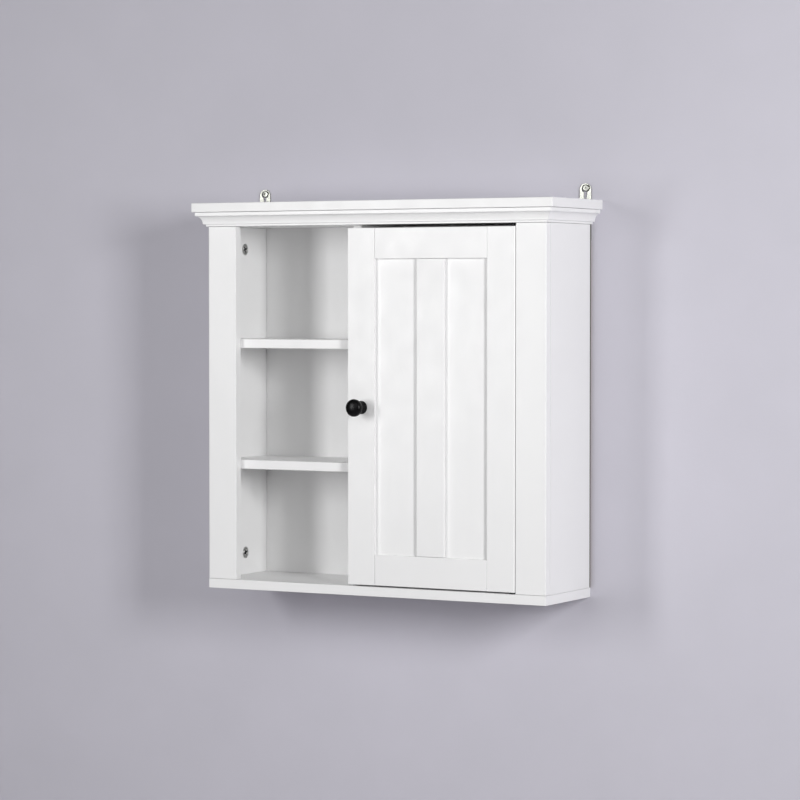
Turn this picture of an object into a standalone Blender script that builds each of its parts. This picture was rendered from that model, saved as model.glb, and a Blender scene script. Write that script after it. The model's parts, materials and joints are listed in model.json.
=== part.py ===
"""Hanging wall cabinet: a painted board carcass with three open compartments on the left, a framed
door on the right that swings on two concealed pivot pins, a moulded crown and two steel hanger plates.

Metres, +Z up. +X is the right-hand side seen from the front and the front faces -Y. The wall is the
plane Y = 0, and the origin is on it, midway between the screw holes of the two hanger plates.
"""
import math

import bmesh
import bpy
from mathutils import Matrix, Vector

# Driving dimensions of the whole cabinet
BODY_WIDTH = 0.497
BODY_DEPTH = 0.1285
HEIGHT = 0.508
BOARD = 0.012
GAP = 0.0003
TOP_OVERHANG = 0.0165
CROWN_HEIGHT = 0.0306
POST_WIDTH = 0.0424
POST_CORNER_RADIUS = 0.001
BACK_THICKNESS = 0.0025
BACK_JOINT = 0.0006
OPEN_BAY_WIDTH = 0.1994
LOWER_SHELF_ABOVE_FLOOR = 0.146
UPPER_SHELF_ABOVE_FLOOR = 0.3052

# Crown moulding: overhang of each member past the body, and heights from its lower edge
CROWN_FILLET_OVERHANG = 0.0131
CROWN_COVE_TOP_OVERHANG = 0.0127
CROWN_COVE_FOOT_OVERHANG = 0.0056
CROWN_BAND_OVERHANG = 0.0025
CROWN_BAND_HEIGHT = 0.0029
CROWN_COVE_HEIGHT = 0.0106
CROWN_COVE_STEPS = 8

# Door
DOOR_THICKNESS = 0.015
DOOR_SIDE_GAP = 0.0011
DOOR_TOP_GAP = 0.0044
DOOR_BOTTOM_GAP = 0.0022
DOOR_REST_GAP = 0.0015
DOOR_EDGE_RADIUS = 0.002
DOOR_FRAME_WIDTH = 0.0395
DOOR_LEFT_X = -0.0358
DOOR_PANEL_THICKNESS = 0.005
DOOR_PANEL_RECESS = 0.0050
DOOR_PANEL_TONGUE = 0.006

# Pivot hinge: how far the axis lies in from the door's right edge, and behind its front face
HINGE_INSET = 0.005
HINGE_BEHIND_FRONT = 0.0042
HINGE_PIN_RADIUS = 0.002
HINGE_PIN_IN_DOOR = 0.016
HINGE_PIN_IN_BUSH = 0.007
BUSH_RADIUS = 0.0032
BUSH_BORE_RADIUS = 0.0021
BUSH_LENGTH = 0.008
WASHER_RADIUS = 0.0038

# Knob
KNOB_INSET = 0.020
KNOB_BELOW_MIDDLE = 0.001
KNOB_LENGTH = 0.0256
KNOB_CAP_RADIUS = 0.0113
KNOB_CAP_MIDDLE = 0.0192
KNOB_NECK_RADIUS = 0.0060
KNOB_NECK_MIDDLE = 0.0094
KNOB_FOOT_RADIUS = 0.0086
KNOB_BORE_RADIUS = 0.0023
KNOB_BORE_DEPTH = 0.013
KNOB_SCREW_RADIUS = 0.0020
KNOB_SCREW_IN_KNOB = 0.011
KNOB_SCREW_HEAD_RADIUS = 0.0045
KNOB_SCREW_HEAD_HEIGHT = 0.0022

# Hanger plates
PLATE_WIDTH = 0.016
PLATE_THICKNESS = 0.0015
PLATE_INSET = 0.0082
PLATE_HOLE_ABOVE_TOP = 0.015
PLATE_REACH_ABOVE_HOLE = 0.0067
PLATE_REACH_BELOW_TOP = 0.052
PLATE_HOLE_RADIUS = 0.0052
PLATE_SLOT_WIDTH = 0.0044
PLATE_SLOT_LENGTH = 0.0135
PLATE_SCREWS_BELOW_TOP = (0.0212, 0.0425)

# Small wood screws
SCREW_RADIUS = 0.0015
SCREW_HOLE_RADIUS = 0.0018
SCREW_HEAD_RADIUS = 0.0030
SCREW_HEAD_HEIGHT = 0.0012
SCREW_LENGTH = 0.009

# Cam fittings that pull the side panels against the boards above and below them
CAM_RADIUS = 0.0075
CAM_DEPTH = 0.0087
CAM_TO_BOARD = 0.0295
CAM_BEHIND_MIDDLE = 0.0077
CAM_BOLT_RADIUS = 0.003
CAM_BOLT_IN_BOARD = 0.008

# Adjustable shelf behind the door
INNER_SHELF_SIDE_CLEARANCE = 0.001
INNER_SHELF_SETBACK = 0.025
INNER_SHELF_ABOVE_FLOOR = 0.227
SHELF_PIN_RADIUS = 0.0025
SHELF_PIN_IN_PANEL = 0.008
SHELF_PIN_REACH = 0.0075
SHELF_PIN_FRONT = 0.055
SHELF_PIN_REAR = 0.025
SHELF_PIN_STEP = 0.064

# Magnetic catch on the divider, with its strike on the door, and the door's rubber rests
CATCH_ABOVE_FLOOR = 0.392
CATCH_WIDTH = 0.011
CATCH_LENGTH = 0.013
CATCH_HEIGHT = 0.040
CATCH_BEHIND_DOOR = 0.0035
CATCH_SCREW_SPACING = 0.030
MAGNET_WIDTH = 0.006
MAGNET_LENGTH = 0.005
MAGNET_HEIGHT = 0.018
STRIKE_WIDTH = 0.011
STRIKE_HEIGHT = 0.024
STRIKE_THICKNESS = 0.0012
REST_RADIUS = 0.004
REST_FROM_END = 0.040

# Places worked out from the dimensions above
REAR = -(PLATE_THICKNESS + GAP)
FRONT = REAR - BODY_DEPTH
TOP = -PLATE_HOLE_ABOVE_TOP
BOTTOM = TOP - HEIGHT
FLOOR = BOTTOM + BOARD
CEILING = TOP - CROWN_HEIGHT
LEFT = -BODY_WIDTH / 2
RIGHT = BODY_WIDTH / 2
BEHIND_POST = FRONT + BOARD
BACK_FACE = REAR - BACK_THICKNESS
DIVIDER_LEFT = LEFT + BOARD + OPEN_BAY_WIDTH
DIVIDER_RIGHT = DIVIDER_LEFT + BOARD

DOOR_RIGHT = RIGHT - POST_WIDTH - DOOR_SIDE_GAP
DOOR_TOP = CEILING - DOOR_TOP_GAP
DOOR_BOTTOM = FLOOR + DOOR_BOTTOM_GAP
DOOR_REAR = FRONT + DOOR_THICKNESS
DOOR_MIDDLE_Z = (DOOR_TOP + DOOR_BOTTOM) / 2
HINGE = Vector((DOOR_RIGHT - HINGE_INSET, FRONT + HINGE_BEHIND_FRONT, DOOR_MIDDLE_Z))

ROUND = 24
BELOW_FACE = 0.001

for old in list(bpy.data.objects):
    bpy.data.objects.remove(old, do_unlink=True)

parts = bpy.data.collections.new("parts")
cutters = bpy.data.collections.new("cutters")
bpy.context.scene.collection.children.link(parts)
bpy.context.scene.collection.children.link(cutters)


def make_material(name, colour, roughness, metallic=0.0):
    material = bpy.data.materials.new(name)
    material.use_nodes = True
    shader = material.node_tree.nodes["Principled BSDF"]
    shader.inputs["Base Color"].default_value = (*colour, 1.0)
    shader.inputs["Roughness"].default_value = roughness
    shader.inputs["Metallic"].default_value = metallic
    material.diffuse_color = (*colour, 1.0)
    return material


# Finish of each kind of sub-part: linear colour, roughness and metallic value
FINISHES = {
    "white_paint": ((0.86, 0.86, 0.85), 0.35, 0.0),
    "hardboard": ((0.22, 0.13, 0.07), 0.70, 0.0),
    "black_metal": ((0.012, 0.012, 0.013), 0.35, 0.0),
    "bright_steel": ((0.60, 0.60, 0.61), 0.28, 1.0),
    "zinc_fitting": ((0.48, 0.48, 0.50), 0.42, 1.0),
    "white_plastic": ((0.78, 0.78, 0.76), 0.45, 0.0),
    "black_plastic": ((0.020, 0.020, 0.021), 0.48, 0.0),
    "clear_rubber": ((0.55, 0.55, 0.53), 0.60, 0.0),
    "magnet": ((0.05, 0.05, 0.055), 0.50, 1.0),
}


def place(name, mesh_data, finish):
    """Turn a bmesh into a named sub-part with a material of its own."""
    mesh = bpy.data.meshes.new(name)
    bmesh.ops.recalc_face_normals(mesh_data, faces=mesh_data.faces)
    mesh_data.to_mesh(mesh)
    mesh_data.free()
    part = bpy.data.objects.new(name, mesh)
    colour, roughness, metallic = FINISHES[finish]
    part.data.materials.append(make_material(name + "_" + finish, colour, roughness, metallic))
    parts.objects.link(part)
    return part


def add_box(mesh_data, low, high):
    """Add a closed box between two corners and return its vertices."""
    low = Vector(low)
    high = Vector(high)
    size = high - low
    at = Matrix.Translation((low + high) / 2) @ Matrix.Diagonal((*size, 1.0))
    return bmesh.ops.create_cube(mesh_data, size=1.0, matrix=at)["verts"]


def add_rod(mesh_data, start, end, radius, end_radius=None, segments=ROUND):
    """Add a closed cylinder or cone between two points."""
    start = Vector(start)
    end = Vector(end)
    along = end - start
    turn = along.to_track_quat("Z", "Y").to_matrix().to_4x4()
    at = Matrix.Translation((start + end) / 2) @ turn
    far = radius if end_radius is None else end_radius
    bmesh.ops.create_cone(mesh_data, cap_ends=True, segments=segments, radius1=radius, radius2=far,
                          depth=along.length, matrix=at)


def round_upright_edges(mesh_data, places, radius, steps=3):
    """Round the vertical edges of a box that stand at the given (x, y) places."""
    chosen = []
    for edge in mesh_data.edges:
        a, b = (v.co for v in edge.verts)
        upright = abs(a.x - b.x) < 1e-6 and abs(a.y - b.y) < 1e-6
        if upright and any(abs(a.x - x) < 1e-6 and abs(a.y - y) < 1e-6 for x, y in places):
            chosen.append(edge)
    bmesh.ops.bevel(mesh_data, geom=chosen, offset=radius, segments=steps, profile=0.5,
                    affect="EDGES")


def board(name, low, high, finish="white_paint", rounded=(), radius=POST_CORNER_RADIUS):
    mesh_data = bmesh.new()
    add_box(mesh_data, low, high)
    if rounded:
        round_upright_edges(mesh_data, rounded, radius)
    return place(name, mesh_data, finish)


def subtract(part, mesh_data, tag):
    """Cut everything in a bmesh out of a sub-part, as a drill or a router would."""
    mesh = bpy.data.meshes.new(part.name + "_" + tag)
    bmesh.ops.recalc_face_normals(mesh_data, faces=mesh_data.faces)
    mesh_data.to_mesh(mesh)
    mesh_data.free()
    cutter = bpy.data.objects.new(part.name + "_" + tag, mesh)
    cutter.hide_render = True
    cutter.display_type = "WIRE"
    cutters.objects.link(cutter)
    cut = part.modifiers.new(tag, "BOOLEAN")
    cut.operation = "DIFFERENCE"
    cut.solver = "EXACT"
    cut.object = cutter
    return cutter


def drill(part, rods, tag):
    """Cut one round hole for each (start, end, radius) in the list."""
    mesh_data = bmesh.new()
    for start, end, radius in rods:
        add_rod(mesh_data, start, end, radius)
    return subtract(part, mesh_data, tag)


# Carcass boards
def build_carcass():
    made = {}
    made["top_board"] = board(
        "top_board",
        (LEFT - TOP_OVERHANG, FRONT - TOP_OVERHANG, TOP - BOARD),
        (RIGHT + TOP_OVERHANG, REAR, TOP))
    made["carcass_top"] = board(
        "carcass_top", (LEFT, FRONT, CEILING), (RIGHT, REAR, TOP - BOARD - GAP))
    made["bottom_board"] = board(
        "bottom_board", (LEFT, FRONT, BOTTOM), (RIGHT, REAR, FLOOR))
    for side, outer, inner in (("left", LEFT, LEFT + BOARD), ("right", RIGHT, RIGHT - BOARD)):
        name = "side_panel_" + side
        made[name] = board(
            name,
            (min(outer, inner), BEHIND_POST + GAP, FLOOR + GAP),
            (max(outer, inner), BACK_FACE - BACK_JOINT, CEILING - GAP))
    for side, outer, inward in (("left", LEFT, 1), ("right", RIGHT, -1)):
        name = "front_post_" + side
        inner = outer + inward * POST_WIDTH
        made[name] = board(
            name,
            (min(outer, inner), FRONT, FLOOR + GAP),
            (max(outer, inner), BEHIND_POST, CEILING - GAP),
            rounded=((outer, FRONT),))
    made["divider_panel"] = board(
        "divider_panel",
        (DIVIDER_LEFT, DOOR_REAR + DOOR_REST_GAP, FLOOR + GAP),
        (DIVIDER_RIGHT, BACK_FACE - GAP, CEILING - GAP))
    made["back_panel"] = board(
        "back_panel",
        (LEFT, BACK_FACE, FLOOR + GAP),
        (RIGHT, REAR, CEILING - GAP),
        finish="hardboard")
    for name, above in (("open_shelf_lower", LOWER_SHELF_ABOVE_FLOOR),
                        ("open_shelf_upper", UPPER_SHELF_ABOVE_FLOOR)):
        made[name] = board(
            name,
            (LEFT + BOARD + GAP, BEHIND_POST + GAP, FLOOR + above),
            (DIVIDER_LEFT - GAP, BACK_FACE - GAP, FLOOR + above + BOARD))
    made["inner_shelf"] = board(
        "inner_shelf",
        (DIVIDER_RIGHT + INNER_SHELF_SIDE_CLEARANCE, DOOR_REAR + INNER_SHELF_SETBACK,
         FLOOR + INNER_SHELF_ABOVE_FLOOR),
        (RIGHT - BOARD - INNER_SHELF_SIDE_CLEARANCE, BACK_FACE - INNER_SHELF_SIDE_CLEARANCE,
         FLOOR + INNER_SHELF_ABOVE_FLOOR + BOARD))
    return made


# Crown moulding, three mitred lengths round the front and the sides
def crown_profile():
    """Overhang and height of each point of the moulding's outline, from its lower back edge."""
    full_height = CROWN_HEIGHT - BOARD - GAP
    cove_foot = CROWN_BAND_HEIGHT
    points = [(GAP, 0.0), (CROWN_BAND_OVERHANG, 0.0), (CROWN_BAND_OVERHANG, cove_foot)]
    for step in range(CROWN_COVE_STEPS + 1):
        angle = step / CROWN_COVE_STEPS * math.pi / 2
        spread = CROWN_COVE_TOP_OVERHANG - CROWN_COVE_FOOT_OVERHANG
        points.append((CROWN_COVE_TOP_OVERHANG - spread * math.cos(angle),
                       cove_foot + CROWN_COVE_HEIGHT * math.sin(angle)))
    points.append((CROWN_FILLET_OVERHANG, cove_foot + CROWN_COVE_HEIGHT))
    points.append((CROWN_FILLET_OVERHANG, full_height))
    points.append((GAP, full_height))
    return points


def crown_length(name, start, end, outward, mitre_start, mitre_end):
    """Extrude the outline from start to end; a mitre of 1 makes that end follow the overhang."""
    along = (Vector(end) - Vector(start)).normalized()
    outward = Vector(outward)
    mesh_data = bmesh.new()
    outline = []
    for overhang, height in crown_profile():
        spot = Vector(start) + outward * overhang + Vector((0, 0, height))
        spot -= along * (overhang - GAP / 2) * mitre_start
        outline.append(mesh_data.verts.new(spot))
    face = mesh_data.faces.new(outline)
    grown = bmesh.ops.extrude_face_region(mesh_data, geom=[face])
    far = [item for item in grown["geom"] if isinstance(item, bmesh.types.BMVert)]
    for vertex in far:
        overhang = (vertex.co - Vector(start)).dot(outward)
        at_start = (vertex.co - Vector(start)).dot(along)
        reach = (Vector(end) - Vector(start)).length + (overhang - GAP / 2) * mitre_end
        vertex.co += along * (reach - at_start)
    place(name, mesh_data, "white_paint")


def build_crown():
    crown_length("crown_front", (LEFT, FRONT, CEILING), (RIGHT, FRONT, CEILING), (0, -1, 0), 1, 1)
    crown_length("crown_left", (LEFT, FRONT, CEILING), (LEFT, REAR, CEILING), (-1, 0, 0), 1, 0)
    crown_length("crown_right", (RIGHT, FRONT, CEILING), (RIGHT, REAR, CEILING), (1, 0, 0), 1, 0)


# Door: two full-height stiles, two rails and a middle muntin round two recessed panels
def build_door():
    made = {}
    inner_left = DOOR_LEFT_X + DOOR_FRAME_WIDTH
    inner_right = DOOR_RIGHT - DOOR_FRAME_WIDTH
    inner_top = DOOR_TOP - DOOR_FRAME_WIDTH
    inner_bottom = DOOR_BOTTOM + DOOR_FRAME_WIDTH
    middle = (inner_left + inner_right) / 2
    muntin_left = middle - DOOR_FRAME_WIDTH / 2
    muntin_right = middle + DOOR_FRAME_WIDTH / 2
    frame_pieces = (
        ("door_stile_left", DOOR_LEFT_X, inner_left - GAP, DOOR_BOTTOM, DOOR_TOP),
        ("door_stile_right", inner_right + GAP, DOOR_RIGHT, DOOR_BOTTOM, DOOR_TOP),
        ("door_rail_top", inner_left, inner_right, inner_top, DOOR_TOP),
        ("door_rail_bottom", inner_left, inner_right, DOOR_BOTTOM, inner_bottom),
        ("door_muntin", muntin_left, muntin_right, inner_bottom + GAP, inner_top - GAP),
    )
    for name, left, right, low, high in frame_pieces:
        rounded = ((DOOR_RIGHT, FRONT),) if name == "door_stile_right" else ()
        made[name] = board(name, (left, FRONT, low), (right, DOOR_REAR, high),
                           rounded=rounded, radius=DOOR_EDGE_RADIUS)
    panel_front = FRONT + DOOR_PANEL_RECESS
    panel_rear = panel_front + DOOR_PANEL_THICKNESS
    tongue = DOOR_PANEL_TONGUE
    for side, left, right in (("left", inner_left, muntin_left),
                              ("right", muntin_right, inner_right)):
        low = Vector((left - tongue, panel_front, inner_bottom - tongue))
        high = Vector((right + tongue, panel_rear, inner_top + tongue))
        panel = board("door_panel_" + side, low, high)
        made[panel.name] = panel
        clearance = Vector((GAP, GAP, GAP))
        for frame_name, *_ in frame_pieces:
            outer_stile = "door_stile_right" if side == "left" else "door_stile_left"
            if frame_name == outer_stile:
                continue
            groove = bmesh.new()
            add_box(groove, low - clearance, high + clearance)
            subtract(made[frame_name], groove, "groove_" + side)
    return made


# Turned knob, and the screw that holds it from behind the door
def knob_outline():
    """Radius and distance from the door of each point, from the crown of the cap to the bore."""
    points = []
    cap_half = KNOB_LENGTH - KNOB_CAP_MIDDLE
    for step in range(9):
        angle = math.pi / 2 * (1 - step / 8)
        points.append((KNOB_CAP_RADIUS * math.cos(angle),
                       KNOB_CAP_MIDDLE + cap_half * math.sin(angle)))
    under_cap = KNOB_CAP_MIDDLE - KNOB_NECK_MIDDLE
    for step in range(1, 9):
        swing = step / 8
        points.append((KNOB_NECK_RADIUS + (KNOB_CAP_RADIUS - KNOB_NECK_RADIUS)
                       * (0.5 + 0.5 * math.cos(math.pi * swing)),
                       KNOB_CAP_MIDDLE - under_cap * swing ** 0.8))
    for step in range(1, 7):
        swing = step / 6
        points.append((KNOB_NECK_RADIUS + (KNOB_FOOT_RADIUS - KNOB_NECK_RADIUS) * swing ** 2,
                       KNOB_NECK_MIDDLE * (1 - swing)))
    points += [(KNOB_BORE_RADIUS, 0.0), (KNOB_BORE_RADIUS, KNOB_BORE_DEPTH), (0.0, KNOB_BORE_DEPTH)]
    points[0] = (0.0, KNOB_LENGTH)
    return points


def build_knob(door):
    x = DOOR_LEFT_X + KNOB_INSET
    z = DOOR_MIDDLE_Z - KNOB_BELOW_MIDDLE
    mesh_data = bmesh.new()
    line = [mesh_data.verts.new((radius, 0.0, out)) for radius, out in knob_outline()]
    for near, far in zip(line, line[1:]):
        mesh_data.edges.new((near, far))
    knob = place("knob", mesh_data, "black_metal")
    turning = knob.modifiers.new("turn", "SCREW")
    turning.axis = "Z"
    turning.steps = ROUND
    turning.render_steps = ROUND
    turning.use_merge_vertices = True
    turning.merge_threshold = 0.00001
    knob.location = (x, FRONT - GAP, z)
    knob.rotation_euler = (math.pi / 2, 0.0, 0.0)

    head = bmesh.new()
    tip = FRONT - GAP - KNOB_SCREW_IN_KNOB
    add_rod(head, (x, tip, z), (x, DOOR_REAR + GAP, z), KNOB_SCREW_RADIUS)
    screw = place("knob_screw", head, "zinc_fitting")
    add_head(screw, (x, DOOR_REAR + GAP, z), (0, 1, 0), KNOB_SCREW_HEAD_RADIUS,
             KNOB_SCREW_HEAD_HEIGHT)
    drill(door["door_stile_left"],
          [((x, FRONT - BELOW_FACE, z), (x, DOOR_REAR + BELOW_FACE, z),
            KNOB_SCREW_RADIUS + GAP)], "knob_hole")
    return knob, screw


def add_head(screw, under, outward, radius, height):
    """Fuse a flat cylinder head on to a screw's shank."""
    under = Vector(under)
    outward = Vector(outward)
    mesh_data = bmesh.new()
    add_rod(mesh_data, under, under + outward * height, radius)
    cutter = subtract(screw, mesh_data, "head")
    screw.modifiers["head"].operation = "UNION"
    return cutter


def wood_screw(name, under, outward, finish="zinc_fitting"):
    """A pan-headed wood screw; under is the point below its head, outward the way the head faces."""
    under = Vector(under)
    outward = Vector(outward)
    mesh_data = bmesh.new()
    add_rod(mesh_data, under - outward * SCREW_LENGTH, under + outward * SCREW_HEAD_HEIGHT / 2,
            SCREW_RADIUS)
    screw = place(name, mesh_data, finish)
    add_head(screw, under, outward, SCREW_HEAD_RADIUS, SCREW_HEAD_HEIGHT)
    return screw


# Concealed pivot hinge: a pin at each end of the door, turning in a bush in the board beyond it
def build_hinge(carcass, door):
    x, y, _ = HINGE
    ends = (("top", DOOR_TOP, 1, CEILING, "carcass_top"),
            ("bottom", DOOR_BOTTOM, -1, FLOOR, "bottom_board"))
    pins = []
    for end, door_edge, way, face, board_name in ends:
        pin = bmesh.new()
        add_rod(pin, (x, y, door_edge - way * HINGE_PIN_IN_DOOR), (x, y, face + way * HINGE_PIN_IN_BUSH),
                HINGE_PIN_RADIUS)
        pins.append(place("hinge_pin_" + end, pin, "black_metal"))
        drill(door["door_stile_right"],
              [((x, y, door_edge - way * (HINGE_PIN_IN_DOOR + GAP)),
                (x, y, door_edge + way * BELOW_FACE), HINGE_PIN_RADIUS + GAP)], "pin_hole_" + end)
        bush = bmesh.new()
        add_rod(bush, (x, y, face), (x, y, face + way * BUSH_LENGTH), BUSH_RADIUS)
        bush_part = place("hinge_bush_" + end, bush, "white_plastic")
        drill(bush_part, [((x, y, face - way * BELOW_FACE),
                           (x, y, face + way * (BUSH_LENGTH + BELOW_FACE)), BUSH_BORE_RADIUS)], "bore")
        drill(carcass[board_name], [((x, y, face - way * BELOW_FACE),
                                     (x, y, face + way * (BUSH_LENGTH + GAP)),
                                     BUSH_RADIUS + GAP)], "bush_seat")
    washer = bmesh.new()
    add_rod(washer, (x, y, FLOOR + GAP), (x, y, DOOR_BOTTOM - GAP), WASHER_RADIUS)
    washer_part = place("hinge_washer", washer, "black_plastic")
    drill(washer_part, [((x, y, FLOOR - BELOW_FACE), (x, y, DOOR_BOTTOM + BELOW_FACE),
                         BUSH_BORE_RADIUS)], "bore")
    return pins


# Steel hanger plates on the rear edges of the two sides
def build_hangers(carcass):
    for side, sign in (("left", -1), ("right", 1)):
        x = sign * (BODY_WIDTH / 2 - PLATE_INSET)
        mesh_data = bmesh.new()
        round_top = PLATE_REACH_ABOVE_HOLE - PLATE_WIDTH / 2
        corners = [(x - PLATE_WIDTH / 2, round_top), (x - PLATE_WIDTH / 2, TOP - PLATE_REACH_BELOW_TOP),
                   (x + PLATE_WIDTH / 2, TOP - PLATE_REACH_BELOW_TOP), (x + PLATE_WIDTH / 2, round_top)]
        for step in range(1, 12):
            angle = math.pi * step / 12
            corners.append((x + PLATE_WIDTH / 2 * math.cos(angle),
                            round_top + PLATE_WIDTH / 2 * math.sin(angle)))
        outline = [mesh_data.verts.new((cx, -PLATE_THICKNESS, cz)) for cx, cz in corners]
        face = mesh_data.faces.new(outline)
        grown = bmesh.ops.extrude_face_region(mesh_data, geom=[face])
        moved = [item for item in grown["geom"] if isinstance(item, bmesh.types.BMVert)]
        bmesh.ops.translate(mesh_data, verts=moved, vec=(0, PLATE_THICKNESS, 0))
        plate = place("hanger_plate_" + side, mesh_data, "bright_steel")

        through = (-PLATE_THICKNESS - BELOW_FACE, BELOW_FACE)
        drill(plate, [((x, through[0], 0.0), (x, through[1], 0.0), PLATE_HOLE_RADIUS)], "hole")
        slot = bmesh.new()
        add_box(slot, (x - PLATE_SLOT_WIDTH / 2, through[0], -PLATE_SLOT_LENGTH),
                (x + PLATE_SLOT_WIDTH / 2, through[1], 0.0))
        subtract(plate, slot, "slot")

        for number, below in enumerate(PLATE_SCREWS_BELOW_TOP, start=1):
            z = TOP - below
            into = ("carcass_top",) if z > CEILING else ("back_panel", "side_panel_" + side)
            centre = sign * (BODY_WIDTH / 2 - BOARD / 2)
            sunk = bmesh.new()
            add_rod(sunk, (centre, -PLATE_THICKNESS - GAP / 2, z), (centre, GAP, z),
                    SCREW_RADIUS + GAP, SCREW_HEAD_RADIUS + 2 * GAP)
            subtract(plate, sunk, "countersink_%d" % number)
            screw = bmesh.new()
            add_rod(screw, (centre, -PLATE_THICKNESS, z), (centre, -GAP, z),
                    SCREW_RADIUS, SCREW_HEAD_RADIUS)
            part = place("hanger_screw_%s_%d" % (side, number), screw, "zinc_fitting")
            shank = bmesh.new()
            add_rod(shank, (centre, REAR - SCREW_LENGTH, z), (centre, -PLATE_THICKNESS / 2, z),
                    SCREW_RADIUS)
            subtract(part, shank, "shank")
            part.modifiers["shank"].operation = "UNION"
            for board_name in into:
                drill(carcass[board_name], [((centre, REAR - SCREW_LENGTH - GAP, z),
                                             (centre, REAR + BELOW_FACE, z), SCREW_HOLE_RADIUS)],
                      "hanger_hole_%d_%s" % (number, side))


# Cam fittings at the top and bottom of each side panel
def build_cams(carcass):
    y = (FRONT + REAR) / 2 + CAM_BEHIND_MIDDLE
    for side, sign in (("left", -1), ("right", 1)):
        inner = sign * (BODY_WIDTH / 2 - BOARD)
        middle = sign * (BODY_WIDTH / 2 - BOARD / 2)
        panel = carcass["side_panel_" + side]
        for end, face, way, board_name in (("top", CEILING, 1, "carcass_top"),
                                           ("bottom", FLOOR, -1, "bottom_board")):
            z = face - way * CAM_TO_BOARD
            drill(panel, [((inner - sign * BELOW_FACE, y, z), (inner + sign * (CAM_DEPTH + GAP), y, z),
                           CAM_RADIUS + GAP)], "cam_pocket_" + end)
            cam = bmesh.new()
            add_rod(cam, (inner, y, z), (inner + sign * CAM_DEPTH, y, z), CAM_RADIUS)
            place("cam_lock_%s_%s" % (side, end), cam, "zinc_fitting")
            near_cam = z + way * (CAM_RADIUS + GAP)
            bolt = bmesh.new()
            add_rod(bolt, (middle, y, near_cam), (middle, y, face + way * CAM_BOLT_IN_BOARD),
                    CAM_BOLT_RADIUS)
            place("cam_bolt_%s_%s" % (side, end), bolt, "zinc_fitting")
            drill(panel, [((middle, y, z + way * CAM_RADIUS / 2), (middle, y, face + way * BELOW_FACE),
                           CAM_BOLT_RADIUS + GAP)], "bolt_hole_" + end)
            drill(carcass[board_name], [((middle, y, face - way * BELOW_FACE),
                                         (middle, y, face + way * (CAM_BOLT_IN_BOARD + GAP)),
                                         CAM_BOLT_RADIUS + GAP)], "bolt_hole_" + side)


# Shelf pins under the adjustable shelf, in the middle of three rows of holes
def build_shelf_pins(carcass):
    rest = FLOOR + INNER_SHELF_ABOVE_FLOOR - SHELF_PIN_RADIUS - GAP
    rows = (rest - SHELF_PIN_STEP, rest, rest + SHELF_PIN_STEP)
    columns = (("front", DOOR_REAR + SHELF_PIN_FRONT), ("rear", BACK_FACE - SHELF_PIN_REAR))
    for side, face, way, panel_name in (("left", DIVIDER_RIGHT, 1, "divider_panel"),
                                        ("right", RIGHT - BOARD, -1, "side_panel_right")):
        holes = []
        for place_name, y in columns:
            for z in rows:
                holes.append(((face - way * (SHELF_PIN_IN_PANEL + GAP), y, z),
                              (face + way * BELOW_FACE, y, z), SHELF_PIN_RADIUS + GAP))
            pin = bmesh.new()
            add_rod(pin, (face - way * SHELF_PIN_IN_PANEL, y, rest),
                    (face + way * SHELF_PIN_REACH, y, rest), SHELF_PIN_RADIUS)
            place("shelf_pin_%s_%s" % (side, place_name), pin, "zinc_fitting")
        drill(carcass[panel_name], holes, "shelf_pin_holes")


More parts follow.
